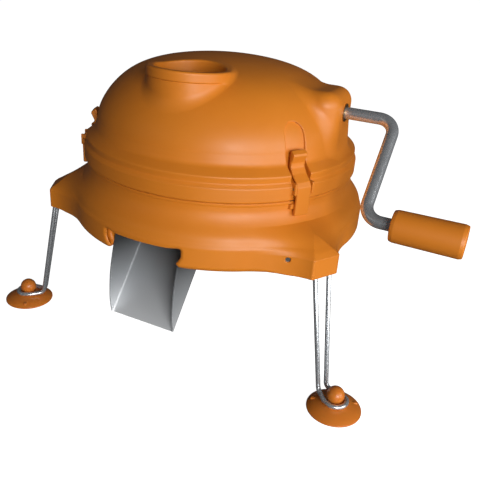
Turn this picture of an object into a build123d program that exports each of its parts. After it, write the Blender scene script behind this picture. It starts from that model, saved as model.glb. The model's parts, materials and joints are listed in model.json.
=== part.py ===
from build123d import *
import os
from math import acos, atan, atan2, cos, hypot, pi, radians, sin, tan

# Hand crank grinder: a domed feed cover clipped to a three-armed base that stands on wire legs
# with suction cups. The crank shaft turns a vertical spindle through a pair of bevel gears, and
# the bladed disc on the spindle throws the ground food down a folded steel chute at the front.
# Frame: +X towards the crank handle, -Y towards the chute, +Z up, Z = 0 under the cup rims, and
# the origin in the middle of the part's outline seen from above.

os.makedirs("parts", exist_ok=True)

# ---- driving dimensions, millimetres --------------------------------------------------------
AXIS_X, AXIS_Y = -22.66, -38.75    # where the spindle stands in the part's frame

FOOT_RADIUS = 191.2               # spindle to the middle of each cup
CUP_RADIUS = 22.9
CUP_HOLLOW = 19.4                 # radius of the suction hollow
BALL_RADIUS, BALL_Z = 7.5, 14.2   # knob that the leg wire grips
WIRE = 4.0                        # leg wire diameter
LOOP_RADIUS, LOOP_Z = 9.7, 9.4    # wire loop around the knob's neck
WIRE_TOP = (154.0, 7.7, 121.2)    # radius, half spacing and height of the wire's upper ends
WIRE_BEND = (175.2, 4.3)          # radius and half spacing where the wires turn outward

BASE_BOTTOM, BASE_TOP = 108.8, 161.6
BASE_RADIUS, FOOT_RING = 136.6, 131.5   # widest band, and the base's rounded bottom edge
BAND_TOP = 129.0
WALL = 3.0
CHAMBER = 119.8                   # inner radius around the disc
ARM_END, ARM_HALF, ARM_SLOPE = 159.5, 13.2, 23.0
ARM_TOP, ARM_RISE = 126.2, 0.585  # height of an arm's end, and how its ridge climbs to the shoulder
LEG_ANGLES = (60, 180, 300)       # about the spindle, from the chute towards the crank

COVER_BOTTOM, COVER_TOP = 162.6, 255.0
COVER_RADIUS, DOME_RADIUS = 125.4, 113.3
GEARBOX_END, GEARBOX_HALF, GEARBOX_TOP, GEARBOX_CORNER = 114.3, 28.0, 239.8, 16.0

THROAT_Y, THROAT_Z, THROAT_TILT = -63.4, 251.8, 3.2   # centre and forward tilt of the feed rim
THROAT_A, THROAT_B, THROAT_WALL = 34.0, 34.6, 5.5     # half sizes across X and Y
THROAT_FOOT = 156.0

LATCH_ANGLES = (58, 178, 298)
LATCH_WIDTH = 13.6
LATCH_PIVOT = (126.4, 173.5)      # radius and height of the latch pin
PIN = 2.4

SHAFT_Z, ROD = 221.7, 10.0
ARM_X = 157.4                     # plane of the crank arm
GRIP_Y, GRIP_Z = -68.4, 160.4
GRIP_START, GRIP_END, GRIP_RADIUS = 180.1, 233.6, 13.0
SHAFT_START = 11.0

MODULE = 2.0                      # bevel gears, at their outer ends
GEAR_TEETH, PINION_TEETH = 24, 12
FACE = 8.0

DISC_Z, DISC_RADIUS, DISC_THICK = 150.0, 115.0, 2.0
PLATE_Z, PLATE_THICK = 139.0, 3.0
SPINDLE = 10.0
SPINDLE_BOTTOM, SPINDLE_TOP = 130.0, 246.0

CHUTE_HALF, SHEET = 30.6, 1.0     # outer half width and thickness of the folded sheet
CHUTE_TOP = (-58.0, 137.6)        # floor line, Y and Z from the spindle
CHUTE_TIP = (-131.6, 48.4)
NOTCH_HALF, NOTCH_TOP = 31.2, 125.6

FIT = 0.05                        # running clearance on radius
BUSH_RADIUS, BOSS_RADIUS = 7.5, 11.0      # outside of the four bushes, and the bosses round them
OUTER_BOSS, HANGER, HANGER_LONG = 96.0, 40.0, 10.0   # where the shaft's two bearings start, along X

SPINDLE_AXIS = Axis((AXIS_X, AXIS_Y, 0), (0, 0, 1))


def level(z):
    """Horizontal plane at height z, centred on the spindle."""
    return Plane((AXIS_X, AXIS_Y, z))


def upright(angle, offset=0.0):
    """Vertical plane through the spindle: local X runs outward at the angle, local Y runs up."""
    a = radians(angle)
    out = Vector(sin(a), -cos(a), 0)
    side = Vector(-cos(a), -sin(a), 0)
    origin = Vector(AXIS_X, AXIS_Y, 0) + side * offset
    return Plane(origin=origin, x_dir=out, z_dir=side)


def facing(angle, radius, z):
    """Vertical plane that faces outward at the angle: local Y runs up."""
    a = radians(angle)
    out = Vector(sin(a), -cos(a), 0)
    origin = Vector(AXIS_X, AXIS_Y, z) + out * radius
    return Plane(origin=origin, x_dir=Vector(cos(a), sin(a), 0), z_dir=out)


def across(x):
    """Plane square to the crank shaft, x from the spindle: local X along +Y, local Y up."""
    return Plane(origin=(AXIS_X + x, AXIS_Y, 0), x_dir=(0, 1, 0), z_dir=(1, 0, 0))


def at(angle, radius, side, z):
    """Point at a radius along the angle, moved sideways, at height z."""
    a = radians(angle)
    return Vector(AXIS_X + radius * sin(a) + side * cos(a), AXIS_Y - radius * cos(a) + side * sin(a), z)


def finish(builder, name):
    builder.part.label = name
    export_step(builder.part, f"parts/{name}.step")


# ---- dome cover -----------------------------------------------------------------------------
CROWN = ((DOME_RADIUS, 198.0), (101.6, 223.0), (83.5, 239.0), (48.5, 251.0), (0.0, COVER_TOP))
FLANGE = (
    (123.8, COVER_BOTTOM), (COVER_RADIUS, 164.6), (COVER_RADIUS, 174.8), (122.9, 178.0),
    (123.8, 183.4), (115.4, 189.8), CROWN[0],
)
FLANGE_RADII = [1.0, 1.8, 1.6, 1.8, 7.0]
CROWN_TANGENTS = ((-0.1, 1), (-1, 0))
LIP_HEIGHT, LIP_PROUD = 8.0, 0.9
RECESS_HALF, RECESS_LOW, RECESS_HIGH, RECESS_DEEP = 9.4, 167.0, 220.5, 2.0
RECESS_FLOOR = ((123.2, 167.0), (123.2, 176.8), (117.4, 180.4), (112.4, 185.4), (111.2, 190.5))
LUG_WIDE, LUG_LOW, LUG_HIGH, LUG_OUT = 2.4, 168.6, 178.4, 129.2
LUG_SPACING = LATCH_WIDTH / 2 + 0.3 + LUG_WIDE / 2


def crown(inset):
    """Points of the crown moved inward by the inset."""
    k = (DOME_RADIUS - inset) / DOME_RADIUS
    return [(r * k, COVER_TOP - inset - (COVER_TOP - z) * k) for r, z in CROWN]


def inner_dome(inset, foot, flank):
    """Solid that fills the dome up to the inset under its skin, with its own outline at the flange."""
    points = crown(inset)
    with BuildPart() as solid:
        with BuildSketch(upright(270)):
            with BuildLine():
                Polyline((0, foot), (flank[0][0], foot), *flank, points[0])
                Spline(*points, tangents=CROWN_TANGENTS)
                Line(points[-1], (0, foot))
            make_face()
        revolve(axis=SPINDLE_AXIS)
    return solid.part


def throat_plane(z):
    return Plane((AXIS_X, AXIS_Y + THROAT_Y, z))


throat_tilt = radians(THROAT_TILT)
rim_plane = Plane(
    origin=(AXIS_X, AXIS_Y + THROAT_Y, THROAT_Z),
    x_dir=(1, 0, 0),
    z_dir=(0, -sin(throat_tilt), cos(throat_tilt)),
)

with BuildPart() as throat_body:
    with BuildSketch(throat_plane(200)):
        Ellipse(THROAT_A + 3.5, THROAT_B + 1.6)
    with BuildSketch(throat_plane(262)):
        Ellipse(THROAT_A - 1.0, THROAT_B - 0.6)
    loft()
    split(bisect_by=rim_plane, keep=Keep.BOTTOM)

with BuildPart() as throat_lip:
    with BuildSketch(rim_plane):
        Ellipse(THROAT_A + LIP_PROUD, THROAT_B + LIP_PROUD)
    extrude(amount=-LIP_HEIGHT)
    fillet(edges().group_by(Axis.Z)[-1], 2.0)

with BuildPart() as gearbox_room:
    with BuildSketch(level(188.0)):
        with Locations((GEARBOX_END / 2, 0)):
            Rectangle(GEARBOX_END - 2 * WALL, 2 * (GEARBOX_HALF - WALL))
        fillet(vertices().group_by(Axis.X)[-1], GEARBOX_CORNER - WALL)
    extrude(amount=GEARBOX_TOP - WALL - 188.0)
    fillet(edges().group_by(Axis.Z)[-1].sort_by(Axis.X)[1:], 9.0)

# Everything that stands inside the cover: the feed tube, the spindle boss under the crown, the
# outer shaft boss and the hanger that holds the inner end of the crank shaft.
with BuildPart() as cover_inside:
    with BuildSketch(throat_plane(THROAT_FOOT)):
        Ellipse(THROAT_A - THROAT_WALL + 2.6, THROAT_B - THROAT_WALL + 2.6)
    extrude(amount=244.0 - THROAT_FOOT)
    with BuildSketch(level(236.5)):
        Circle(BOSS_RADIUS)
    extrude(amount=16.5)
    with BuildSketch(across(OUTER_BOSS)):
        with Locations((0, SHAFT_Z)):
            Circle(BOSS_RADIUS)
    extrude(amount=GEARBOX_END - 1.0 - OUTER_BOSS)
    with BuildSketch(across(HANGER)):
        with Locations((0, SHAFT_Z)):
            Circle(BOSS_RADIUS)
        with Locations((0, SHAFT_Z + 14.1)):
            Rectangle(2 * BOSS_RADIUS, 28.2)
    extrude(amount=HANGER_LONG)

HOLLOW_FLANK = ((COVER_RADIUS - WALL, 167.0), (109.0, 184.5), (109.0, 190.5))
recess_floor = inner_dome(RECESS_DEEP, COVER_BOTTOM, RECESS_FLOOR)

with BuildPart() as thumb_recess:
    for angle in LATCH_ANGLES:
        with BuildSketch(facing(angle, 95.0, 0)):
            with Locations((0, RECESS_HIGH - RECESS_HALF)):
                Circle(RECESS_HALF)
            with Locations((0, (RECESS_LOW + RECESS_HIGH - RECESS_HALF) / 2)):
                Rectangle(2 * RECESS_HALF, RECESS_HIGH - RECESS_HALF - RECESS_LOW)
        extrude(amount=40.0)
    add(recess_floor, mode=Mode.SUBTRACT)

with BuildPart() as dome_cover:
    with BuildSketch(upright(270)):
        with BuildLine():
            FilletPolyline(*FLANGE, radius=FLANGE_RADII)
            Spline(*CROWN, tangents=CROWN_TANGENTS)
            Polyline(CROWN[-1], (0, COVER_BOTTOM), FLANGE[0])
        make_face()
    revolve(axis=SPINDLE_AXIS)
    with BuildSketch(level(185.0)):
        with Locations((GEARBOX_END / 2, 0)):
            Rectangle(GEARBOX_END, 2 * GEARBOX_HALF)
        fillet(vertices().group_by(Axis.X)[-1], GEARBOX_CORNER)
    extrude(amount=GEARBOX_TOP - 185.0)
    roof = edges().filter_by_position(Axis.Z, GEARBOX_TOP - 0.01, GEARBOX_TOP + 0.01)
    fillet(roof.filter_by(GeomType.BSPLINE, reverse=True), 12.0)
    joint_line = edges().filter_by(GeomType.BSPLINE)
    fillet(joint_line.filter_by_position(Axis.Z, 190.0, 245.0), 6.0)
    add(throat_body.part)
    add(throat_lip.part)
    add(thumb_recess.part, mode=Mode.SUBTRACT)
    add(inner_dome(WALL, COVER_BOTTOM - 1.0, HOLLOW_FLANK), mode=Mode.SUBTRACT)
    add(gearbox_room.part, mode=Mode.SUBTRACT)
    add(cover_inside.part)
    with BuildSketch(throat_plane(THROAT_FOOT - 1.0)):
        Ellipse(THROAT_A - THROAT_WALL, THROAT_B - THROAT_WALL)
    extrude(amount=110.0, mode=Mode.SUBTRACT)
    with BuildSketch(across(HANGER - 1.0)):
        with Locations((0, SHAFT_Z)):
            Circle(BUSH_RADIUS)
    extrude(amount=GEARBOX_END - HANGER + 2.0, mode=Mode.SUBTRACT)
    with BuildSketch(level(236.0)):
        Circle(BUSH_RADIUS)
    extrude(amount=11.0, mode=Mode.SUBTRACT)
    for angle in LATCH_ANGLES:
        for side in (-1, 1):
            with BuildSketch(upright(angle, side * LUG_SPACING)):
                with BuildLine():
                    Polyline((122.9, LUG_LOW), (LUG_OUT, LUG_LOW + 1.5), (LUG_OUT, LUG_HIGH - 1.5),
                             (122.9, LUG_HIGH), close=True)
                make_face()
            extrude(amount=LUG_WIDE / 2, both=True)
        with BuildSketch(upright(angle)):
            with Locations(LATCH_PIVOT):
                Circle(PIN / 2)
        extrude(amount=LUG_SPACING + LUG_WIDE / 2, both=True, mode=Mode.SUBTRACT)
finish(dome_cover, "dome_cover")


# ---- base housing ---------------------------------------------------------------------------
NECK = 123.3                      # radius of the waist under the seam
ARM_ROOT = 118.0
LEDGE_HALF = 60.0                  # how far the level ledge reaches either side of an arm
SKIN_INSIDE = BASE_RADIUS - WALL - 0.4
SHOULDER = ((BASE_RADIUS - 0.9, BAND_TOP + 0.9), (134.0, 136.4), (128.4, 144.2), (NECK, 156.5))
CATCH_LOW, CATCH_HIGH, CATCH_OUT, CATCH_HALF = 156.0, 160.4, 125.6, 9.6
JAMB_INSIDE, JAMB_HALF = 122.5, 40.0
NUB_TOP, NUB_RECESS = 115.0, 4.4   # the notch is wider above the two nubs at its foot
SCREW_SPOT, SCREW_TURN, SCREW_HOLE = (143.1, -26.0, 122.6), -32.0, 4.2   # on an arm's flank
PLATE_SCREW, SCREW_FIT = 115.6, 1.7   # circle of the plate's screws, and their hole radius


def arm_half(radius):
    return ARM_HALF + (ARM_END - radius) * tan(radians(ARM_SLOPE))


def screw_plane(angle):
    """Plane on an arm's flank, square to its screw."""
    a = radians(angle + SCREW_TURN)
    return Plane(origin=at(angle, *SCREW_SPOT), x_dir=(cos(a), sin(a), 0), z_dir=(sin(a), -cos(a), 0))


with BuildPart() as base_ring:
    with BuildSketch(upright(270)):
        with BuildLine():
            Polyline((SKIN_INSIDE, BAND_TOP - 2.0), (131.2, 134.6), (128.0, PLATE_Z - 3.0),
                     (112.0, PLATE_Z - 3.0), (112.0, PLATE_Z), (CHAMBER, PLATE_Z), (CHAMBER, BASE_TOP),
                     (NECK + 0.5, BASE_TOP), (NECK + 0.5, BASE_TOP - 1.2), (NECK, BASE_TOP - 2.2),
                     SHOULDER[-1])
            Spline(*reversed(SHOULDER), tangents=((0, -1), (0, -1)))
            Polyline(SHOULDER[0], (BASE_RADIUS, BAND_TOP), (BASE_RADIUS, 115.6))
            ThreePointArc((BASE_RADIUS, 115.6), (BASE_RADIUS - 1.4, 111.4), (FOOT_RING + 1.0, BASE_BOTTOM))
            Polyline((FOOT_RING + 1.0, BASE_BOTTOM), (FOOT_RING - 2.0, BASE_BOTTOM),
                     (SKIN_INSIDE, 115.0), (SKIN_INSIDE, BAND_TOP - 2.0))
        make_face()
    revolve(axis=SPINDLE_AXIS)

def arm_section(radius):
    """Outline across an arm: a ridge with falling flanks, over a level ledge at the band's top."""
    half, inward = arm_half(radius), ARM_END - radius
    ridge_half, ridge = 11.6 - 0.16 * inward, ARM_TOP + ARM_RISE * inward
    ledge = ARM_TOP - 0.5 + 0.08 * inward
    right = [(ridge_half, ridge), (half, ledge), (LEDGE_HALF, ledge), (LEDGE_HALF, BASE_BOTTOM - 5.0)]
    return right + [(-t, z) for t, z in reversed(right)]


# The arms are cut from one flared outline, and their tops climb to the shoulder.
with BuildPart() as arm_envelope:
    for angle in LEG_ANGLES:
        for radius in (ARM_ROOT, ARM_END + 5.0):
            with BuildSketch(facing(angle, radius, 0)):
                Polygon(*arm_section(radius), align=None)
        loft(ruled=True)

with BuildPart() as arms:
    with BuildSketch(level(BASE_BOTTOM)):
        Circle(FOOT_RING + 0.5)
        for angle in LEG_ANGLES:
            with Locations(Location((0, 0, 0), (0, 0, angle - 90))):
                Polygon((ARM_ROOT, arm_half(ARM_ROOT)), (ARM_END, ARM_HALF), (ARM_END, -ARM_HALF),
                        (ARM_ROOT, -arm_half(ARM_ROOT)), align=None)
        inner_corners = vertices().filter_by(lambda v: hypot(v.X, v.Y) < ARM_END - 10)
        fillet(inner_corners, 24.0)
    extrude(amount=45.0)
    add(arm_envelope.part, mode=Mode.INTERSECT)

# Solid either side of the chute, between the inner wall and the skin.
with BuildPart() as jamb:
    with BuildSketch(level(BASE_BOTTOM)):
        with Locations((0, -JAMB_INSIDE)):
            Rectangle(2 * JAMB_HALF, 60.0)
        Circle(FOOT_RING - 0.5, mode=Mode.INTERSECT)
        Circle(JAMB_INSIDE, mode=Mode.SUBTRACT)
    extrude(amount=PLATE_Z - 2.0 - BASE_BOTTOM)

with BuildPart() as notch:
    with BuildSketch(Plane((AXIS_X, AXIS_Y - 100.0, 0), x_dir=(1, 0, 0), z_dir=(0, -1, 0))):
        with BuildLine():
            half = NOTCH_HALF + NUB_RECESS
            right = FilletPolyline(
                (0, BASE_BOTTOM - 2), (NOTCH_HALF + 0.6, BASE_BOTTOM - 2), (NOTCH_HALF, NUB_TOP),
                (half, NUB_TOP + 2.6), (half, NOTCH_TOP), (0, NOTCH_TOP), radius=[1.5, 1.6, 1.6, 1.2])
            mirror(right, about=Plane.YZ)
        make_face()
    extrude(amount=60.0)

with BuildPart() as base_housing:
    add(arms.part)
    arm_tips = edges().filter_by(lambda e: e.center().Z > ARM_TOP - 2.0).filter_by(
        lambda e: hypot(e.center().X - AXIS_X, e.center().Y - AXIS_Y) > ARM_END - 1.0)
    fillet(arm_tips, 1.5)
    with BuildSketch(level(BASE_BOTTOM - 1.0)):
        Circle(FOOT_RING - 2.0)
    extrude(amount=40.0, mode=Mode.SUBTRACT)
    add(base_ring.part)
    add(jamb.part)
    add(notch.part, mode=Mode.SUBTRACT)
    for angle in LATCH_ANGLES:
        with BuildSketch(facing(angle, NECK - 2.0, 0)):
            with Locations((0, (CATCH_LOW + CATCH_HIGH) / 2)):
                Rectangle(2 * CATCH_HALF, CATCH_HIGH - CATCH_LOW)
        extrude(amount=CATCH_OUT - NECK + 2.0)
    for angle in LEG_ANGLES:
        with BuildSketch(screw_plane(angle).offset(-14.0)):
            Circle(SCREW_HOLE / 2)
        extrude(amount=18.0, mode=Mode.SUBTRACT)
        for side in (1, -1):
            wire_top = at(angle, WIRE_TOP[0], side * WIRE_TOP[1], WIRE_TOP[2])
            wire_bend = at(angle, WIRE_BEND[0], side * WIRE_BEND[1], LOOP_Z)
            with BuildSketch(Plane(origin=wire_top, z_dir=(wire_bend - wire_top).normalized())):
                Circle(WIRE / 2)
            extrude(amount=20.0, mode=Mode.SUBTRACT)
    with BuildSketch(level(PLATE_Z - 5.0)):
        with PolarLocations(PLATE_SCREW, 3, start_angle=30):
            Circle(SCREW_FIT)
    extrude(amount=8.0, mode=Mode.SUBTRACT)
finish(base_housing, "base_housing")


# ---- wire legs and suction cups -------------------------------------------------------------
reach = hypot(FOOT_RADIUS - WIRE_BEND[0], WIRE_BEND[1])
touch_angle = pi - atan2(WIRE_BEND[1], FOOT_RADIUS - WIRE_BEND[0]) - acos(LOOP_RADIUS / reach)
TOUCH = (FOOT_RADIUS + LOOP_RADIUS * cos(touch_angle), LOOP_RADIUS * sin(touch_angle))


def leg_wire(angle):
    """One wire: down from the arm, out around the knob's neck and back up."""
    ends = []
    with BuildPart() as wire:
        with BuildLine() as path:
            for side in (1, -1):
                points = [at(angle, WIRE_TOP[0], side * WIRE_TOP[1], WIRE_TOP[2]),
                          at(angle, WIRE_BEND[0], side * WIRE_BEND[1], LOOP_Z),
                          at(angle, TOUCH[0], side * TOUCH[1], LOOP_Z)]
                ends.append(FilletPolyline(*points[::side], radius=5.0))
                if side == 1:
                    ThreePointArc(points[2], at(angle, FOOT_RADIUS + LOOP_RADIUS, 0, LOOP_Z),
                                  at(angle, TOUCH[0], -TOUCH[1], LOOP_Z))
        with BuildSketch(Plane(origin=ends[0] @ 0, z_dir=ends[0] % 0)):
            Circle(WIRE / 2)
        sweep(path=path.wires()[0])
    return wire


def cup(angle, tabs):
    """Suction cup with its knob, its hollow underside and two release tabs."""
    with BuildPart() as body:
        with BuildSketch(upright(angle)):
            with BuildLine():
                Polyline((FOOT_RADIUS, 4.6), (FOOT_RADIUS, 9.0), (FOOT_RADIUS + 5.2, 9.0))
                Spline((FOOT_RADIUS + 5.2, 9.0), (FOOT_RADIUS + 8.5, 7.0), (FOOT_RADIUS + CUP_RADIUS, 1.4),
                       tangents=((0, -1), (0.7, -0.7)))
                Polyline((FOOT_RADIUS + CUP_RADIUS, 1.4), (FOOT_RADIUS + CUP_RADIUS, 0),
                         (FOOT_RADIUS + CUP_HOLLOW, 0))
                Spline((FOOT_RADIUS + CUP_HOLLOW, 0), (FOOT_RADIUS + 11.0, 3.2), (FOOT_RADIUS, 4.6),
                       tangents=((-0.8, 0.6), (-1, 0)))
            make_face()
        revolve(axis=Axis(at(angle, FOOT_RADIUS, 0, 0), (0, 0, 1)))
        with Locations(at(angle, FOOT_RADIUS, 0, BALL_Z)):
            Sphere(BALL_RADIUS)
        foot = at(angle, FOOT_RADIUS, 0, 0)
        for tab in tabs:
            a = radians(angle - 90 + tab)
            with BuildSketch(Plane((foot.X, foot.Y, 1.2), x_dir=(cos(a), sin(a), 0), z_dir=(0, 0, 1))):
                with Locations((18.4, 0)):
                    Rectangle(3.4, 2.6)
            extrude(amount=3.8)
    return body


TABS = {60: (215.0, 66.0), 180: (215.0, 66.0), 300: (92.0, 303.0)}
for number, angle in enumerate(LEG_ANGLES, 1):
    finish(leg_wire(angle), f"leg_wire_{number}")
    finish(cup(angle, TABS[angle]), f"suction_cup_{number}")


# ---- seal, stationary plate and its screws --------------------------------------------------
PLATE_RADIUS = CHAMBER - 0.2
HUB_LOW, HUB_HIGH, HUB_RADIUS = 133.0, 147.6, 14.0
MOUTH_FRONT, MOUTH_BACK, MOUTH_HALF = -108.0, -62.0, 28.0   # opening over the chute

with BuildPart() as seal_ring:
    with BuildSketch(level(BASE_TOP)):
        Circle(NECK - 0.1)
        Circle(CHAMBER + 0.4, mode=Mode.SUBTRACT)
    extrude(amount=COVER_BOTTOM - BASE_TOP)
finish(seal_ring, "seal_ring")

with BuildPart() as sweep_plate:
    with BuildSketch(level(PLATE_Z)):
        Circle(PLATE_RADIUS)
    extrude(amount=PLATE_THICK)
    with BuildSketch(level(HUB_LOW)):
        Circle(HUB_RADIUS)
    extrude(amount=HUB_HIGH - HUB_LOW)
    with BuildSketch(level(HUB_LOW - 1.0)):
        Circle(BUSH_RADIUS)
        with Locations((0, (MOUTH_FRONT + MOUTH_BACK) / 2)):
            RectangleRounded(2 * MOUTH_HALF, MOUTH_BACK - MOUTH_FRONT, 4.0)
        with PolarLocations(PLATE_SCREW, 3, start_angle=30):
            Circle(SCREW_FIT)
    extrude(amount=HUB_HIGH - HUB_LOW + 2.0, mode=Mode.SUBTRACT)
finish(sweep_plate, "sweep_plate")

with BuildPart() as plate_screws:
    with BuildSketch(level(PLATE_Z - 3.4)):
        with PolarLocations(PLATE_SCREW, 3, start_angle=30):
            Circle(SCREW_FIT - FIT)
    extrude(amount=PLATE_THICK + 3.4)
    with BuildSketch(level(PLATE_Z + PLATE_THICK)):
        with PolarLocations(PLATE_SCREW, 3, start_angle=30):
            Circle(3.2)
    extrude(amount=2.0)
    fillet(edges().group_by(Axis.Z)[-1], 1.2)
finish(plate_screws, "plate_screws")

# ---- discharge chute ------------------------------------------------------------------------
FLOOR = Vector(0, CHUTE_TIP[0] - CHUTE_TOP[0], CHUTE_TIP[1] - CHUTE_TOP[1])
RIVET_X, RIVET_Y, RIVET = 16.0, -51.5, 1.6
CHUTE_SIDE = ((-58.0, 138.7), (-107.0, 138.7), (-110.5, 124.6), (-122.5, 123.4), (-127.6, 109.0))
CHUTE_FRONT = (CHUTE_SIDE[-1], (-132.6, 88.0), (-134.2, 69.0), CHUTE_TIP)

with BuildPart() as discharge_chute:
    side_plane = Plane((AXIS_X, AXIS_Y, 0), x_dir=(0, 1, 0), z_dir=(1, 0, 0))
    with BuildSketch(side_plane):
        with BuildLine():
            Polyline(CHUTE_TIP, CHUTE_TOP, *CHUTE_SIDE)
            Spline(*CHUTE_FRONT, tangents=((-0.28, -1), (0.45, -1)))
        make_face()
    extrude(amount=CHUTE_HALF, both=True)
    normal = Vector(0, -FLOOR.Z, FLOOR.Y).normalized() * -SHEET
    with BuildSketch(side_plane):
        with BuildLine():
            lift = (normal.Y, normal.Z)
            Polyline((CHUTE_TIP[0] + lift[0] + 2 * FLOOR.Y, CHUTE_TIP[1] + lift[1] + 2 * FLOOR.Z),
                     (CHUTE_TOP[0] + lift[0] - FLOOR.Y, CHUTE_TOP[1] + lift[1] - FLOOR.Z),
                     (-300.0, 260.0), close=True)
        make_face()
    extrude(amount=CHUTE_HALF - SHEET, both=True, mode=Mode.SUBTRACT)
    with BuildSketch(level(PLATE_Z - 0.1)):
        with Locations((0, CHUTE_TOP[0] + 5.5)):
            Rectangle(2 * CHUTE_HALF, 13.0)
    extrude(amount=-SHEET)
    with BuildSketch(level(PLATE_Z + 1.0)):
        for x in (-RIVET_X, RIVET_X):
            with Locations((x, RIVET_Y)):
                Circle(RIVET)
    extrude(amount=-5.0, mode=Mode.SUBTRACT)
finish(discharge_chute, "discharge_chute")

with BuildPart() as chute_rivets:
    for x in (-RIVET_X, RIVET_X):
        with BuildSketch(level(PLATE_Z - 0.1 - SHEET)):
            with Locations((x, RIVET_Y)):
                Circle(2 * RIVET)
        extrude(amount=-RIVET)
        with BuildSketch(level(PLATE_Z - 0.1 - SHEET)):
            with Locations((x, RIVET_Y)):
                Circle(RIVET - FIT)
        extrude(amount=SHEET)
finish(chute_rivets, "chute_rivets")

# ---- latches --------------------------------------------------------------------------------
LATCH_OUTSIDE = ((124.9, 150.8), (128.7, 150.8), (128.7, 174.4), (126.6, 178.2), (121.0, 183.0),
                 (117.4, 187.6), (117.2, 191.4), (119.8, 197.0), (119.4, 199.0), (116.0, 201.4))
LATCH_INSIDE = ((114.4, 200.4), (113.9, 190.5), (114.4, 187.0), (119.2, 181.4), (124.0, 177.8),
                (124.0, 169.4), (126.0, 167.4), (126.0, 156.1), (124.8, 155.4))
LATCH_ROUND = [0.6, 2.0, 2.5, 4.0, 4.0, 3.0, 0.8, 0.8]

for number, angle in enumerate(LATCH_ANGLES, 1):
    with BuildPart() as latch:
        with BuildSketch(upright(angle)):
            with BuildLine():
                outer = FilletPolyline(*LATCH_OUTSIDE, radius=LATCH_ROUND)
                Polyline(outer @ 1, *LATCH_INSIDE, outer @ 0)
            make_face()
            with Locations(LATCH_PIVOT):
                Circle(PIN / 2 + FIT, mode=Mode.SUBTRACT)
        extrude(amount=LATCH_WIDTH / 2, both=True)
    finish(latch, f"latch_{number}")
    with BuildPart() as latch_pin:
        with BuildSketch(upright(angle)):
            with Locations(LATCH_PIVOT):
                Circle(PIN / 2)
        extrude(amount=LUG_SPACING + LUG_WIDE / 2, both=True)
    finish(latch_pin, f"latch_pin_{number}")
    with BuildPart() as leg_pin:
        with BuildSketch(screw_plane(LEG_ANGLES[number - 1]).offset(-12.0)):
            Circle(SCREW_HOLE / 2)
        extrude(amount=10.8)
    finish(leg_pin, f"leg_pin_{number}")

# ---- crank ----------------------------------------------------------------------------------
BEND = 14.0
GRIP_BORE = ROD / 2 + 0.08
CAP_RADIUS, CAP_DEEP = 7.4, 2.2


def on_shaft(x, y=0.0, z=SHAFT_Z):
    return (AXIS_X + x, AXIS_Y + y, z)


with BuildPart() as crank_rod:
    with BuildLine() as route:
        FilletPolyline(on_shaft(SHAFT_START), on_shaft(ARM_X), on_shaft(ARM_X, GRIP_Y, GRIP_Z),
                       on_shaft(GRIP_END - CAP_DEEP, GRIP_Y, GRIP_Z), radius=BEND)
    with BuildSketch(across(SHAFT_START)):
        with Locations((0, SHAFT_Z)):
            Circle(ROD / 2)
    sweep(path=route.wires()[0])
finish(crank_rod, "crank_rod")

with BuildPart() as crank_grip:
    with BuildSketch(Plane((AXIS_X, AXIS_Y + GRIP_Y, GRIP_Z), x_dir=(1, 0, 0), z_dir=(0, -1, 0))):
        with BuildLine():
            FilletPolyline((GRIP_START, GRIP_BORE), (GRIP_START, 11.8), (GRIP_START + 3.0, 12.6),
                           (GRIP_END - 3.0, GRIP_RADIUS), (GRIP_END, 12.2), (GRIP_END, CAP_RADIUS + 0.3),
                           radius=[0.6, 2.0, 2.0, 0.8])
            Polyline((GRIP_END, CAP_RADIUS + 0.3), (GRIP_END - CAP_DEEP - 0.3, CAP_RADIUS + 0.3),
                     (GRIP_END - CAP_DEEP - 0.3, GRIP_BORE), (GRIP_START, GRIP_BORE))
        make_face()
    revolve(axis=Axis(on_shaft(0, GRIP_Y, GRIP_Z), (1, 0, 0)))
finish(crank_grip, "crank_grip")

with BuildPart() as grip_cap:
    with BuildSketch(across(GRIP_END - CAP_DEEP)):
        with Locations((GRIP_Y, GRIP_Z)):
            Circle(CAP_RADIUS)
    extrude(amount=CAP_DEEP + 0.2)
    fillet(edges().group_by(Axis.X)[-1], 0.8)
finish(grip_cap, "grip_cap")

SHAFT_BUSHES = (
    ("shaft_bush_outer", OUTER_BOSS, GEARBOX_END + 0.4 - OUTER_BOSS),
    ("shaft_bush_inner", HANGER - 0.4, HANGER_LONG + 1.0),
)
for name, start, length in SHAFT_BUSHES:
    with BuildPart() as bush:
        with BuildSketch(across(start)):
            with Locations((0, SHAFT_Z)):
                Circle(BUSH_RADIUS)
                Circle(ROD / 2 + FIT, mode=Mode.SUBTRACT)
        extrude(amount=length)
    finish(bush, name)

with BuildPart() as shaft_collar:
    with BuildSketch(across(88.0)):
        with Locations((0, SHAFT_Z)):
            Circle(8.6)
            Circle(ROD / 2, mode=Mode.SUBTRACT)
    extrude(amount=7.4)
finish(shaft_collar, "shaft_collar")

# ---- bevel gears: both pitch cones meet where the crank and spindle axes cross --------------
GEAR_PITCH, PINION_PITCH = MODULE * GEAR_TEETH / 2, MODULE * PINION_TEETH / 2
CONE = hypot(GEAR_PITCH, PINION_PITCH)
ADDENDUM, DEDENDUM, TOOTH, FLANK = 1.2, 1.7, 2.15, 20.0
APEX = Vector(AXIS_X, AXIS_Y, SHAFT_Z)


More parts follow.
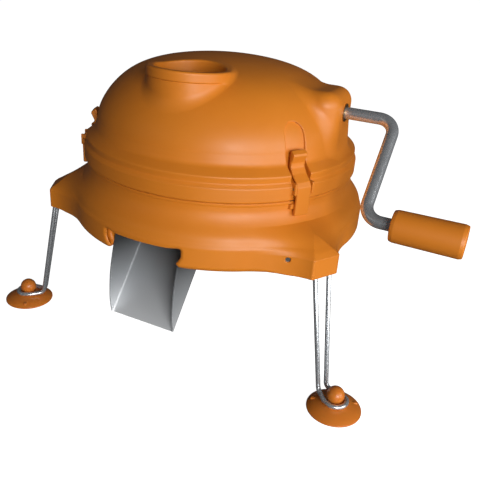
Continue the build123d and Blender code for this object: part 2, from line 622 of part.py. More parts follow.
def tooth_face(axis_dir, out_dir, cone_angle, distance):
    """Trapezium across one tooth, square to the pitch cone's line at this distance from the apex."""
    scale = distance / CONE
    line = (axis_dir * cos(cone_angle) + out_dir * sin(cone_angle)).normalized()
    up = (out_dir * cos(cone_angle) - axis_dir * sin(cone_angle)).normalized()
    plane = Plane(origin=APEX + line * distance, x_dir=up.cross(line), z_dir=line)
    spread = tan(radians(FLANK))
    tip = (TOOTH / 2 - ADDENDUM * spread) * scale
    root = (TOOTH / 2 + (DEDENDUM + 0.6) * spread) * scale
    high, low = ADDENDUM * scale, -(DEDENDUM + 0.6) * scale
    with BuildSketch(plane) as section:
        Polygon((-root, low), (root, low), (tip, high), (-tip, high), align=None)
    return section.sketch


def bevel(axis_dir, start_dir, pitch_radius, teeth, back, bore, phase):
    """Bevel gear on an axis through the apex; its blank is the root cone with a hub behind."""
    cone_angle = atan2(pitch_radius, (CONE ** 2 - pitch_radius ** 2) ** 0.5)
    root_angle = cone_angle - atan(DEDENDUM / CONE)
    near = (CONE - FACE) * cos(root_angle)
    far = CONE * cos(root_angle)
    blank = Plane(origin=APEX, x_dir=start_dir, z_dir=axis_dir.cross(start_dir) * -1)
    with BuildPart() as gear:
        with BuildSketch(blank):
            Polygon((bore, near), (near * tan(root_angle), near), (far * tan(root_angle), far),
                    (far * tan(root_angle), far + 1.2), (bore + 4.0, far + 2.2), (bore + 4.0, back),
                    (bore, back), align=None)
        revolve(axis=Axis(APEX, axis_dir))
        for tooth in range(teeth):
            turn = 360.0 * (tooth + phase) / teeth
            out = start_dir.rotate(Axis((0, 0, 0), axis_dir), turn)
            add(loft([tooth_face(axis_dir, out, cone_angle, CONE - FACE),
                      tooth_face(axis_dir, out, cone_angle, CONE)], mode=Mode.PRIVATE))
    return gear


UP, ALONG = Vector(0, 0, 1), Vector(1, 0, 0)
bevel_gear = bevel(UP * -1, ALONG, GEAR_PITCH, GEAR_TEETH, 24.0, SPINDLE / 2, 0.5)
bevel_pinion = bevel(ALONG, UP * -1, PINION_PITCH, PINION_TEETH, 38.0, ROD / 2, 0.0)
finish(bevel_gear, "bevel_gear")
finish(bevel_pinion, "bevel_pinion")

# ---- spindle, disc and blades ---------------------------------------------------------------
DISC_HUB, NUT_HIGH = 15.0, 6.0
SLOT_LONG, SLOT_WIDE, SLOT_MIDDLE = 62.0, 10.0, 72.0
BLADES, BLADE_WIDE, BLADE_THICK, BLADE_SCREW = 3, 14.0, 1.6, 1.6
BLADE_HOLES = [(SLOT_MIDDLE + shift, SLOT_WIDE / 2 + BLADE_WIDE / 2) for shift in (-20.0, 20.0)]
NUT_LOW = DISC_Z + DISC_THICK + 8.0

with BuildPart() as spindle:
    with BuildSketch(level(SPINDLE_BOTTOM)):
        Circle(SPINDLE / 2)
    extrude(amount=SPINDLE_TOP - SPINDLE_BOTTOM)
    chamfer(edges().filter_by(GeomType.CIRCLE), 0.6)
finish(spindle, "spindle")

with BuildPart() as cutter_disc:
    with BuildSketch(level(DISC_Z)):
        Circle(DISC_RADIUS)
        with PolarLocations(SLOT_MIDDLE, BLADES, start_angle=30):
            SlotOverall(SLOT_LONG, SLOT_WIDE, mode=Mode.SUBTRACT)
    extrude(amount=DISC_THICK)
    with BuildSketch(level(HUB_HIGH + 0.4)):
        Circle(DISC_HUB)
    extrude(amount=NUT_LOW - HUB_HIGH - 0.4)
    with BuildSketch(level(DISC_Z - 5.0)):
        with PolarLocations(70.0, 2):
            Rectangle(84.0, 6.0)
    extrude(amount=5.0)
    with BuildSketch(level(HUB_HIGH)):
        Circle(SPINDLE / 2)
    extrude(amount=20.0, mode=Mode.SUBTRACT)
finish(cutter_disc, "cutter_disc")

for number in range(BLADES):
    turn = 30.0 + 360.0 * number / BLADES
    blade_plane = Plane(origin=(AXIS_X, AXIS_Y, DISC_Z + DISC_THICK),
                        x_dir=(cos(radians(turn)), sin(radians(turn)), 0), z_dir=(0, 0, 1))
    with BuildPart() as blade:
        with BuildSketch(blade_plane):
            with Locations((SLOT_MIDDLE, SLOT_WIDE / 2 + 5.0)):
                Rectangle(SLOT_LONG, BLADE_WIDE)
        extrude(amount=BLADE_THICK)
        chamfer(edges().group_by(Axis.Z)[-1].filter_by(Axis.X, reverse=True), 0.6)
        with BuildSketch(blade_plane):
            with Locations(*BLADE_HOLES):
                Circle(BLADE_SCREW)
        extrude(amount=BLADE_THICK, mode=Mode.SUBTRACT)
    finish(blade, f"blade_{number + 1}")
    with BuildPart() as blade_screws:
        with BuildSketch(blade_plane):
            with Locations(*BLADE_HOLES):
                Circle(BLADE_SCREW - FIT)
        extrude(amount=BLADE_THICK)
        with BuildSketch(blade_plane.offset(BLADE_THICK)):
            with Locations(*BLADE_HOLES):
                Circle(BLADE_SCREW + 1.0)
        extrude(amount=1.4)
    finish(blade_screws, f"blade_screws_{number + 1}")

with BuildPart() as disc_nut:
    with BuildSketch(level(NUT_LOW)):
        RegularPolygon(9.0, 6)
        Circle(SPINDLE / 2, mode=Mode.SUBTRACT)
    extrude(amount=NUT_HIGH)
finish(disc_nut, "disc_nut")

SPINDLE_BUSHES = (("spindle_bush_lower", HUB_LOW, HUB_HIGH - HUB_LOW), ("spindle_bush_upper", 236.4, 10.0))
for name, start, length in SPINDLE_BUSHES:
    with BuildPart() as bush:
        with BuildSketch(level(start)):
            Circle(BUSH_RADIUS)
            Circle(SPINDLE / 2 + FIT, mode=Mode.SUBTRACT)
        extrude(amount=length)
    finish(bush, name)

with BuildPart() as spindle_clip:
    with BuildSketch(level(HUB_LOW - 1.8)):
        Circle(8.5)
        Circle(SPINDLE / 2, mode=Mode.SUBTRACT)
    extrude(amount=1.5)
finish(spindle_clip, "spindle_clip")
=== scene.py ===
"""Looks of the hand crank grinder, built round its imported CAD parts.

Lengths are in millimetres about the spindle until a mesh is made, with Z = 0 under the cup rims.
The moulded parts are signed distance fields, meshed on a lattice and pulled onto the field, so
that every blend between a tube, a box and the dome is one smooth surface.
"""
import bpy
import json
import numpy as np
from math import atan2, cos, hypot, pi, radians, sin, sqrt, tan
from mathutils import Matrix, Vector


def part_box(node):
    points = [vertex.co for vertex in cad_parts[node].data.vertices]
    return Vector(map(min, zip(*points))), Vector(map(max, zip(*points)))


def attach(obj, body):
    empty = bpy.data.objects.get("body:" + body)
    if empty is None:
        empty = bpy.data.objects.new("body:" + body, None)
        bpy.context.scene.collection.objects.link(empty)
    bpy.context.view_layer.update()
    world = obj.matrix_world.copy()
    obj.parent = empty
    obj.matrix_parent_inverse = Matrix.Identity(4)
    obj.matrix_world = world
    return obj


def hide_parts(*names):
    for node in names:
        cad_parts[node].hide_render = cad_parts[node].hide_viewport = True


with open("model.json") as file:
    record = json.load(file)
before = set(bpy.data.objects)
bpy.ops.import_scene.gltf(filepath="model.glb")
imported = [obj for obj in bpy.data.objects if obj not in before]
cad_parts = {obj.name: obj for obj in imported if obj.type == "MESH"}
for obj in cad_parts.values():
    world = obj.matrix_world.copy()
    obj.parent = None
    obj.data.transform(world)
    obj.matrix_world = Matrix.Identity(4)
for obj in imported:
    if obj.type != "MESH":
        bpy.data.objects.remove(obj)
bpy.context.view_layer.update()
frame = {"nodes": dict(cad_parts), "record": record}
low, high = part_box("spindle")
AXIS = Vector(((low.x + high.x) / 2, (low.y + high.y) / 2, 0))
LATCH_ANGLES = (58, 178, 298)
LEG_ANGLES = (60, 180, 300)
TOP_Z = 255.0
SHAFT_Z = 221.7
HINGE_R, HINGE_Z = 126.4, 173.5
GRIP_Y, GRIP_Z = -68.4, 160.4
FOOT_R = 191.2

# ---- camera ---------------------------------------------------------------------------------
turn, pitch, roll = radians(26.87 - 2.5), radians(25.33), radians(4.15)
forward = Vector((-sin(turn) * cos(pitch), cos(turn) * cos(pitch), -sin(pitch)))
right = Vector((cos(turn), sin(turn), 0))
up = right.cross(forward)
right, up = cos(roll) * right + sin(roll) * up, cos(roll) * up - sin(roll) * right
camera = bpy.data.objects.new("camera", bpy.data.cameras.new("camera"))
bpy.context.scene.collection.objects.link(camera)
bpy.context.scene.camera = camera
view = Matrix((right, up, -forward)).transposed().to_4x4()
view.translation = AXIS + Vector((0.2458, -0.4850, 0.3318))
camera.matrix_world = view
camera.data.sensor_width = 36.0
camera.data.lens = 44.37
camera.data.clip_start = 0.02


# ---- materials ------------------------------------------------------------------------------
class Nodes:
    """A material's node tree, built one node at a time."""

    def __init__(self, name):
        self.material = bpy.data.materials.new(name)
        self.material.use_nodes = True
        self.tree = self.material.node_tree
        self.shader = self.tree.nodes["Principled BSDF"]

    def add(self, kind, settings=(), **inputs):
        node = self.tree.nodes.new(kind)
        for key, value in dict(settings).items():
            setattr(node, key, value)
        for key, value in inputs.items():
            self.plug(value, node.inputs[key.replace("_", " ")])
        return node

    def plug(self, value, socket):
        if isinstance(value, bpy.types.NodeSocket):
            self.tree.links.new(value, socket)
        else:
            socket.default_value = value

    def set(self, **inputs):
        for key, value in inputs.items():
            self.plug(value, self.shader.inputs[key.replace("_", " ")])

    def place(self, scale=(1, 1, 1)):
        """Object coordinates, stretched."""
        coords = self.add("ShaderNodeTexCoord")
        return self.add("ShaderNodeMapping", Vector=coords.outputs["Object"], Scale=scale).outputs[0]

    def noise(self, scale, detail=3.0, rough=0.5, where=None):
        vector = where if where is not None else self.place()
        return self.add("ShaderNodeTexNoise", Vector=vector, Scale=scale, Detail=detail,
                        Roughness=rough).outputs["Fac"]

    def span(self, value, low, high, start=0.3, end=0.7):
        node = self.add("ShaderNodeMapRange")
        for key, number in zip(("Value", "From Min", "From Max", "To Min", "To Max"),
                               (value, start, end, low, high)):
            self.plug(number, node.inputs[key])
        return node.outputs[0]

    def ramp(self, value, *stops):
        node = self.add("ShaderNodeValToRGB", Fac=value)
        elements = node.color_ramp.elements
        while len(elements) < len(stops):
            elements.new(0.5)
        for element, (place, colour) in zip(elements, stops):
            element.position = place
            element.color = (*colour, 1)
        return node.outputs["Color"]

    def bump(self, height, strength, distance):
        node = self.add("ShaderNodeBump", Height=height, Strength=strength, Distance=distance)
        return node.outputs[0]


def moulded(name, dark, light, rough, grain):
    """Satin moulded plastic or rubber: fine orange peel, faint flow marks and a soft clear sheen."""
    n = Nodes(name)
    flow = n.noise(14.0, 4.0, 0.6)
    peel = n.noise(900.0, 2.0, 0.5)
    n.set(Base_Color=n.ramp(flow, (0.3, dark), (0.7, light)))
    n.set(Roughness=n.span(n.noise(60.0, 3.0, 0.6), rough - 0.03, rough + 0.05))
    n.set(Normal=n.bump(peel, grain, 0.00012))
    n.set(IOR=1.5)
    return n.material


def metal(name, dark, light, rough, stretch, scale, strength=0.12, metallic=1.0):
    """Drawn, turned or brushed metal: streaks along one direction."""
    n = Nodes(name)
    streak = n.noise(scale, 4.0, 0.65, n.place(stretch))
    cloud = n.noise(25.0, 3.0, 0.6)
    n.set(Base_Color=n.ramp(cloud, (0.3, dark), (0.75, light)), Metallic=metallic)
    n.set(Roughness=n.span(streak, rough * 0.8, rough * 1.3))
    n.set(Normal=n.bump(streak, strength, 0.00008))
    return n.material


def grey(value, tint=0.0):
    """Neutral grey, or a slightly blue one."""
    return (value, value * (1 + tint / 2), value * (1 + tint))


def chute_metal_painted_shade():
    """Brushed sheet with painted shade: dark up under the housing, standing in for the housing's shadow, and
    lighter towards its open tip, standing in for the light falling there.
    """
    n = Nodes("sheet_steel_painted_shade")
    height = n.add("ShaderNodeSeparateXYZ", Vector=n.place()).outputs["Z"]
    tip_m, housing_m = 0.045, 0.125
    # painted shade and light: the base colour goes by height alone, from light grey at the tip to near black
    # up under the housing
    n.set(Base_Color=n.ramp(n.span(height, 0.0, 1.0, tip_m, housing_m),
                            (0.0, grey(0.80, 0.04)), (0.4, grey(0.42, 0.08)), (0.85, grey(0.07, 0.10))))
    brushed = n.noise(18.0, 4.0, 0.65, n.place((60, 1, 1)))
    n.set(Metallic=0.35, Roughness=n.span(brushed, 0.34, 0.50), Normal=n.bump(brushed, 0.05, 0.00008))
    return n.material


def cup_rubber():
    """Orange rubber that lets a little light through."""
    rubber = moulded("orange_rubber", (0.640, 0.180, 0.020), (0.720, 0.215, 0.026), 0.30, 0.05)
    shader = rubber.node_tree.nodes["Principled BSDF"]
    shader.inputs["Subsurface Weight"].default_value = 0.12
    shader.inputs["Subsurface Radius"].default_value = (0.01, 0.004, 0.002)
    return rubber


ORANGE_DARK, ORANGE_LIGHT = (0.690, 0.205, 0.014), (0.740, 0.228, 0.017)
orange = moulded("orange_plastic", ORANGE_DARK, ORANGE_LIGHT, 0.44, 0.08)
orange_grip = moulded("orange_grip", ORANGE_DARK, ORANGE_LIGHT, 0.46, 0.12)
orange_cup = cup_rubber()
black_rubber = moulded("black_rubber", grey(0.015), grey(0.03), 0.6, 0.3)
rod_steel = metal("rod_steel", grey(0.66, 0.08), grey(0.76, 0.08), 0.26, (1, 1, 1), 300.0, 0.05, 0.8)
sheet_steel_painted_shade = chute_metal_painted_shade()
cast_metal = metal("cast_metal", grey(0.42), grey(0.52), 0.45, (1, 1, 1), 500.0, 0.25)
blade_steel = metal("blade_steel", grey(0.50), grey(0.60), 0.25, (40, 1, 1), 30.0)
screw_steel = metal("screw_steel", grey(0.28), grey(0.38), 0.32, (1, 1, 1), 400.0)
gear_steel = metal("gear_steel", grey(0.26), grey(0.34), 0.38, (1, 1, 1), 250.0)
bronze = metal("bronze", (0.42, 0.24, 0.09), (0.52, 0.32, 0.13), 0.34, (1, 1, 1), 300.0)

FINISH = {
    "orange_plastic": orange, "orange_rubber": orange_cup, "black_rubber": black_rubber,
    "polished_rod": rod_steel, "chute_sheet": sheet_steel_painted_shade, "cast_aluminium": cast_metal,
    "blade_steel": blade_steel, "screw_steel": screw_steel, "gear_metal": gear_steel, "bronze": bronze,
}
SLOT = {part["node"]: part["material_slot"] for part in frame["record"]["subparts"]}
for name, node in frame["nodes"].items():
    node.data.materials.clear()
    node.data.materials.append(FINISH[SLOT[name]])


# ---- pieces ---------------------------------------------------------------------------------
def piece(name, points, faces, body, finish, replaced=(), normals=None):
    """Makes one mesh piece from points in millimetres about the spindle."""
    mesh = bpy.data.meshes.new(name)
    points = np.asarray(points, float)
    mesh.from_pydata((points * 0.001 + np.array(AXIS)).tolist(), [], [list(f) for f in faces])
    mesh.update()
    mesh.shade_smooth()
    if normals is not None:
        mesh.normals_split_custom_set_from_vertices(np.asarray(normals).tolist())
    mesh.materials.append(finish)
    thing = bpy.data.objects.new(name, mesh)
    bpy.context.scene.collection.objects.link(thing)
    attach(thing, body)
    if replaced:
        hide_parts(*replaced)
    return thing


def turned(points, angle):
    """Points of a part drawn at angle 0 (out along -Y), turned about the spindle towards the crank."""
    a = radians(angle)
    x, y, z = np.asarray(points, float).T
    return np.column_stack((x * cos(a) - y * sin(a), x * sin(a) + y * cos(a), z))


# ---- signed distance fields -----------------------------------------------------------------
def spline(points, tangent_in, tangent_out, steps=24):
    """Smooth curve through points, with given end tangents."""
    p = np.asarray(points, float)
    t = np.concatenate(([0], np.cumsum(np.hypot(*np.diff(p, axis=0).T))))
    count = len(p)
    matrix, rhs = np.zeros((count, count)), np.zeros((count, 2))
    matrix[0, 0] = matrix[-1, -1] = 1
    rhs[0] = np.array(tangent_in) / hypot(*tangent_in)
    rhs[-1] = np.array(tangent_out) / hypot(*tangent_out)
    for i in range(1, count - 1):
        before, after = t[i] - t[i - 1], t[i + 1] - t[i]
        matrix[i, i - 1:i + 2] = (after, 2 * (before + after), before)
        rhs[i] = 3 * (before * (p[i + 1] - p[i]) / after + after * (p[i] - p[i - 1]) / before)
    slope = np.linalg.solve(matrix, rhs)
    out = []
    for i in range(count - 1):
        h = t[i + 1] - t[i]
        u = np.linspace(0, 1, steps, endpoint=False)[:, None]
        out.append((2 * u**3 - 3 * u**2 + 1) * p[i] + (u**3 - 2 * u**2 + u) * h * slope[i]
                   + (3 * u**2 - 2 * u**3) * p[i + 1] + (u**3 - u**2) * h * slope[i + 1])
    return [tuple(q) for q in np.vstack(out + [p[-1:]])]


def rounded(points, radii, closed=False, steps=7):
    """Polyline with its corners rounded, in two or three dimensions."""
    p = [np.asarray(q, float) for q in points]
    count = len(p)
    out = []
    for i in range(count):
        radius = radii[i] if closed else (0 if i in (0, count - 1) else radii[i - 1])
        if radius <= 0:
            out.append(p[i])
            continue
        a, b, c = p[i - 1], p[i], p[(i + 1) % count]
        u, v = (a - b) / np.linalg.norm(a - b), (c - b) / np.linalg.norm(c - b)
        half = np.arccos(np.clip(u @ v, -1, 1)) / 2
        middle = b + (u + v) / np.linalg.norm(u + v) * radius / sin(half)
        start, end = b + u * radius / tan(half) - middle, b + v * radius / tan(half) - middle
        sweep = pi - 2 * half
        for k in range(steps + 1):
            f = k / steps
            out.append(middle + (start * sin((1 - f) * sweep) + end * sin(f * sweep)) / sin(sweep))
    return out


def outline(x, y, polygon):
    """Signed distance to a closed polygon, negative inside."""
    shape = x.shape
    x, y = x.ravel(), y.ravel()
    best = np.full(x.shape, 1e12)
    inside = np.zeros(x.shape, bool)
    points = np.asarray(polygon, float)
    for (ax, ay), (bx, by) in zip(points, np.roll(points, -1, 0)):
        ex, ey = bx - ax, by - ay
        length = ex * ex + ey * ey
        if length < 1e-12:
            continue
        wx, wy = x - ax, y - ay
        h = np.clip((wx * ex + wy * ey) / length, 0, 1)
        best = np.minimum(best, (wx - ex * h) ** 2 + (wy - ey * h) ** 2)
        if ey != 0:
            crosses = ((ay > y) != (by > y)) & (x < ax + ex * (y - ay) / ey)
            inside ^= crosses
    return np.where(inside, -1, 1).reshape(shape) * np.sqrt(best).reshape(shape)


class Outline:
    """Signed distance to a closed outline, looked up in a fine table."""

    def __init__(self, polygon, low, high, step=0.2):
        self.low, self.step = low, step
        lines = [np.arange(a, b + step, step) for a, b in zip(low, high)]
        self.table = outline(*np.meshgrid(*lines, indexing="ij"), polygon)

    def __call__(self, u, v):
        u, v = (u - self.low[0]) / self.step, (v - self.low[1]) / self.step
        rows, columns = self.table.shape
        u, v = np.clip(u, 0, rows - 1.001), np.clip(v, 0, columns - 1.001)
        i, j = u.astype(np.int32), v.astype(np.int32)
        u, v = u - i, v - j
        t = self.table.ravel()
        k = i * columns + j
        here, beyond = t[k] * (1 - v) + t[k + 1] * v, t[k + columns] * (1 - v) + t[k + columns + 1] * v
        return here * (1 - u) + beyond * u


def join(a, b, r):
    """Union with a concave fillet of radius r."""
    return np.maximum(r, np.minimum(a, b)) - np.hypot(np.maximum(r - a, 0), np.maximum(r - b, 0))


def meet(a, b, r):
    """Intersection with its edge rounded to radius r."""
    return np.minimum(-r, np.maximum(a, b)) + np.hypot(np.maximum(r + a, 0), np.maximum(r + b, 0))


def cut(a, b, r):
    """The first without the second, with the edge rounded to radius r."""
    return meet(a, -b, r)


def slab(value, half):
    """Everything within half of zero."""
    return np.abs(value) - half


def plate(u, v, half_u, half_v, r):
    """Rounded rectangle."""
    du, dv = np.abs(u) - half_u + r, np.abs(v) - half_v + r
    return np.hypot(np.maximum(du, 0), np.maximum(dv, 0)) + np.minimum(np.maximum(du, dv), 0) - r


def oval(x, y, a, b):
    """Ellipse with half axes a and b."""
    k = np.sqrt((x / a) ** 2 + (y / b) ** 2)
    return (k - 1) * k / np.maximum(np.sqrt((x / a**2) ** 2 + (y / b**2) ** 2), 1e-9)


def local(x, y, angle):
    """Outward and sideways distances in a frame turned to the angle."""
    a = radians(angle)
    return x * sin(a) - y * cos(a), x * cos(a) + y * sin(a)


def steps(*runs):
    """Grid lines: (start, step), (start, step), ... end."""
    lines = []
    for (start, step), following in zip(runs, runs[1:]):
        end = following[0] if isinstance(following, tuple) else following
        lines.append(np.linspace(start, end, max(2, int(round((end - start) / step)) + 1))[:-1])
    return np.append(np.concatenate(lines), runs[-1])


def mesh_field(field, axes, to_space, wrap):
    """Surface net of a field on a lattice, pulled onto the field: (points, quads, normals).

    axes are three arrays of grid lines, to_space turns them into X, Y, Z, and wrap says that the
    first axis is an angle that closes on itself."""
    # far from the surface, one value serves a block of the lattice
    block = 4
    count = [len(a) for a in axes]
    middles = [a[np.minimum(np.arange(0, len(a), block) + block // 2, len(a) - 1)] for a in axes]
    widest = [np.abs(np.diff(a)).max() for a in axes]
    if wrap:
        widest[0] *= axes[1].max()
    coarse = field(*to_space(*np.meshgrid(*middles, indexing="ij")))
    near = np.abs(coarse) < 1.1 * (block + 1) / 2 * sqrt(sum(w * w for w in widest))
    grow = [np.minimum(np.arange(n) // block, len(m) - 1) for n, m in zip(count, middles)]
    values = np.where(coarse < 0, -9, 9).astype(np.float32)[np.ix_(*grow)]
    flat = np.flatnonzero(near[np.ix_(*grow)])
    for start in range(0, len(flat), 400000):
        chosen = flat[start:start + 400000]
        spots = np.unravel_index(chosen, count)
        values.ravel()[chosen] = field(*to_space(*(a[i] for a, i in zip(axes, spots))))
    full = np.concatenate((values, values[:1])) if wrap else values
    inside = full < 0
    n = [s - 1 for s in full.shape]
    corners = [(i, j, k) for i in (0, 1) for j in (0, 1) for k in (0, 1)]
    total = sum(inside[i:i + n[0], j:j + n[1], k:k + n[2]].astype(np.int8) for i, j, k in corners)
    cells = np.argwhere((total > 0) & (total < 8))
    number = np.full(n, -1, np.int32)
    number[tuple(cells.T)] = np.arange(len(cells))
    values8 = {c: full[tuple((cells + c).T)] for c in corners}
    summed, hits = np.zeros((len(cells), 3)), np.zeros(len(cells))
    for a in corners:
        for axis in range(3):
            if a[axis]:
                continue
            b = tuple(v + (d == axis) for d, v in enumerate(a))
            crosses = (values8[a] < 0) != (values8[b] < 0)
            share = values8[a] / np.where(crosses, values8[a] - values8[b], 1)
            spot = np.array(a, float) + share[:, None] * (np.array(b) - np.array(a))
            summed += np.where(crosses[:, None], spot, 0)
            hits += crosses
    index = cells + summed / hits[:, None]
    lines = [np.append(axes[0], axes[0][0] + 2 * pi) if wrap else axes[0], axes[1], axes[2]]
    spots = [np.interp(index[:, d], np.arange(len(lines[d])), lines[d]) for d in range(3)]
    points = np.column_stack(to_space(*spots))
    quads = []
    for axis in range(3):
        u, v = (axis + 1) % 3, (axis + 2) % 3
        first = [slice(0, s) for s in full.shape]
        second = list(first)
        first[axis], second[axis] = slice(0, -1), slice(1, None)
        change = np.argwhere(inside[tuple(first)] != inside[tuple(second)])
        if wrap and axis != 0:
            change = change[change[:, 0] < n[0]]
        around = []
        keep = np.ones(len(change), bool)
        for du, dv in ((1, 1), (0, 1), (0, 0), (1, 0)):
            cell = change.copy()
            cell[:, u] -= du
            cell[:, v] -= dv
            if wrap and axis != 0:
                cell[:, 0] %= n[0]
            good = np.all((cell >= 0) & (cell < n), axis=1)
            keep &= good
            around.append(number[tuple(np.where(good[:, None], cell, 0).T)])
        quads.append(np.column_stack(around)[keep])
    quads = np.vstack(quads)
    quads = quads[np.all(quads >= 0, axis=1)]

    def gradient(p, h=0.12):
        g = np.column_stack([field(*(p + h * e).T) - field(*(p - h * e).T) for e in np.eye(3)]) / (2 * h)
        return g, np.maximum(np.linalg.norm(g, axis=1, keepdims=True), 1e-6)

    for _ in range(2):
        g, size = gradient(points)
        move = -field(*points.T)[:, None] * g / size**2
        length = np.linalg.norm(move, axis=1, keepdims=True)
        points = points + move * np.minimum(1, 0.5 / np.maximum(length, 1e-9))
    g, size = gradient(points, 0.3)
    normals = g / size
    across = np.cross(points[quads[:, 2]] - points[quads[:, 0]], points[quads[:, 3]] - points[quads[:, 1]])
    flip = np.einsum("ij,ij->i", across, normals[quads].sum(1)) < 0
    quads[flip] = quads[flip][:, ::-1]
    return points, quads, normals


def polar(angle, radius, z):
    """X, Y, Z of a lattice of angles, radii and heights."""
    return radius * np.cos(angle), radius * np.sin(angle), z


def drop(points, quads, normals, gone):
    """Removes faces whose corners are all in the mask, and points left over."""
    quads = quads[~gone[quads].all(1)]
    used = np.unique(quads)
    renumber = np.full(len(points), -1)
    renumber[used] = np.arange(len(used))
    return points[used], renumber[quads], normals[used]


# ---- dome cover -----------------------------------------------------------------------------
CROWN = ((113.3, 198.0), (101.6, 223.0), (83.5, 239.0), (48.5, 251.0), (0.0, TOP_Z))
FLANGE = ((123.9, 162.5), (125.4, 164.0), (125.4, 174.8), (122.9, 178.0), (123.8, 183.4),
          (115.4, 189.8), CROWN[0])
crown_line = spline(CROWN, (-0.1, 1), (-1, 0))
cover_line = rounded(FLANGE, (1.0, 1.8, 1.6, 1.8, 7.0)) + crown_line[1:]
cover_outline = [(-40, FLANGE[0][1])] + cover_line + [(-40, TOP_Z)]
recess_line = [(-40, 160), (123.2, 160), (123.2, 176.8), (117.4, 180.4), (112.4, 185.4), (111.2, 190.5)]
recess_line += [(r - 2.0 + 0.02 * max(0, 113 - r), z - 2.0 * (1 - r / 114)) for r, z in crown_line]
cover_profile = Outline(cover_outline, (0, 150), (136, 262))
recess_floor = Outline(recess_line, (0, 150), (136, 262))
THROAT_Y, THROAT_Z = -63.4, 251.8
THROAT_TILT = radians(3.2)
RECESS_HALF = 9.4


def throat_solid(x, y, z):
    """The feed tube's outside: a tapered oval with a banded lip under its sloping rim."""
    v = y - THROAT_Y
    share = (z - 200.0) / 62.0
    tube = oval(x, v, 37.5 - 4.5 * share, 36.2 - 2.2 * share)
    top = (z - THROAT_Z) * cos(THROAT_TILT) + v * sin(THROAT_TILT)
    body = meet(tube, top + 0.3, 1.6)
    lip = meet(meet(oval(x, v, 34.9, 35.5), top, 2.0), -(top + 8.0), 0.7)
    return np.minimum(body, lip)


def cover_field(x, y, z):
    """The dome with its flange, gearbox bulge, feed tube, thumb recesses and hinge ears."""
    r = np.hypot(x, y)
    cover = cover_profile(r, z)
    box = meet(plate(x - 57.15, y, 57.15, 28.0, 16.0), z - 239.8, 12.0)
    cover = join(cover, np.maximum(box, 184.0 - z), 6.5)
    cover = join(cover, np.maximum(throat_solid(x, y, z), 200.0 - z), 4.5)
    tube = np.maximum(oval(x, y - THROAT_Y, 31.1, 31.7), 156.0 - z)
    cover = np.minimum(cover, np.maximum(tube, z - 235.0))
    bore = oval(x, y - THROAT_Y, 28.5, 29.1)
    cover = cut(cover, bore, 1.8)
    floor = recess_floor(r, z)
    for angle in LATCH_ANGLES:
        out, side = local(x, y, angle)
        slot = plate(side, z - 195.0, RECESS_HALF, 25.5, 9.2)
        slot = np.minimum(slot, np.maximum(slab(side, RECESS_HALF), np.maximum(z - 200.0, 160.0 - z)))
        recess = np.maximum(np.maximum(slot, 95.0 - out), -floor)
        cover = cut(cover, recess, 0.7)
        for hand in (-1, 1):
            ear = plate(side - hand * 8.3, z - HINGE_Z, 1.2, 4.9, 0.9)
            ear = meet(ear, np.maximum(out - 129.2, 122.0 - out), 0.8)
            cover = join(cover, ear, 0.8)
    shaft_hole = np.maximum(np.hypot(y, z - SHAFT_Z) - 7.5, 60.0 - x)
    return np.maximum(cover, -shaft_hole)


theta = np.linspace(0, 2 * pi, 640, endpoint=False)
grid = (theta, steps((4.0, 1.6), (20.0, 0.9), (104.0, 0.55), 131.0),
        steps((154.0, 1.6), (161.4, 0.45), (193.0, 0.9), (236.0, 0.5), 256.5))
points, quads, normals = mesh_field(cover_field, grid, polar, True)
radius = np.hypot(points[:, 0], points[:, 1])
inner = (normals[:, 2] < -0.9) & (points[:, 2] < 163.2) & (radius < 119.0) & (points[:, 2] > 161.0)
points, quads, normals = drop(points, quads, normals, inner)
# the lattice leaves a small hole at the crown, which one fan closes
radius = np.hypot(points[:, 0], points[:, 1])
ring = np.flatnonzero((radius < 6.5) & (points[:, 2] > 250))
ring = ring[np.argsort(np.arctan2(points[ring, 1], points[ring, 0]))]
edge = ring[radius[ring] < radius[ring].min() + 0.4]
points = np.vstack((points, (0, 0, TOP_Z)))
normals = np.vstack((normals, (0, 0, 1)))
fan = [(edge[k], edge[(k + 1) % len(edge)], len(points) - 1) for k in range(len(edge))]
piece("cover_skin", points, quads.tolist() + fan, "frame", orange, ["dome_cover"], normals)


# ---- base housing ---------------------------------------------------------------------------
BASE_R, BASE_LOW, RIM = 136.6, 108.8, 162.3
ARM_END, ARM_TOP, ARM_HALF, ARM_SLOPE = 159.5, 125.8, 13.2, radians(23.0)
MOUTH_TOP = 125.6
shoulder = [(BASE_R, 128.0), (136.5, 129.2), (136.0, 130.6)]
shoulder += spline(((135.5, 131.6), (133.9, 136.6), (128.4, 144.2), (123.3, 156.5)), (-0.35, 1), (0, 1))
shoulder += [(123.3, 159.6), (123.8, 160.6), (123.8, RIM)]
shoulder_r, shoulder_z = np.array(shoulder).T
room_line = [(210, 104), (129.5, 104), (129.5, BASE_LOW), (133.2, 115.0), (133.2, 127.0),
             (131.2, 134.6), (128.0, 136.0), (112.0, 136.0), (112.0, 139.0), (119.8, 139.0),
             (119.8, RIM), (210, RIM)]
room_profile = Outline(room_line, (104, 104), (168, 166))
SCREW_TURN, SCREW_SIDE, SCREW_Z, SCREW_FACE = -32.0, 53.8, 122.6, 135.1


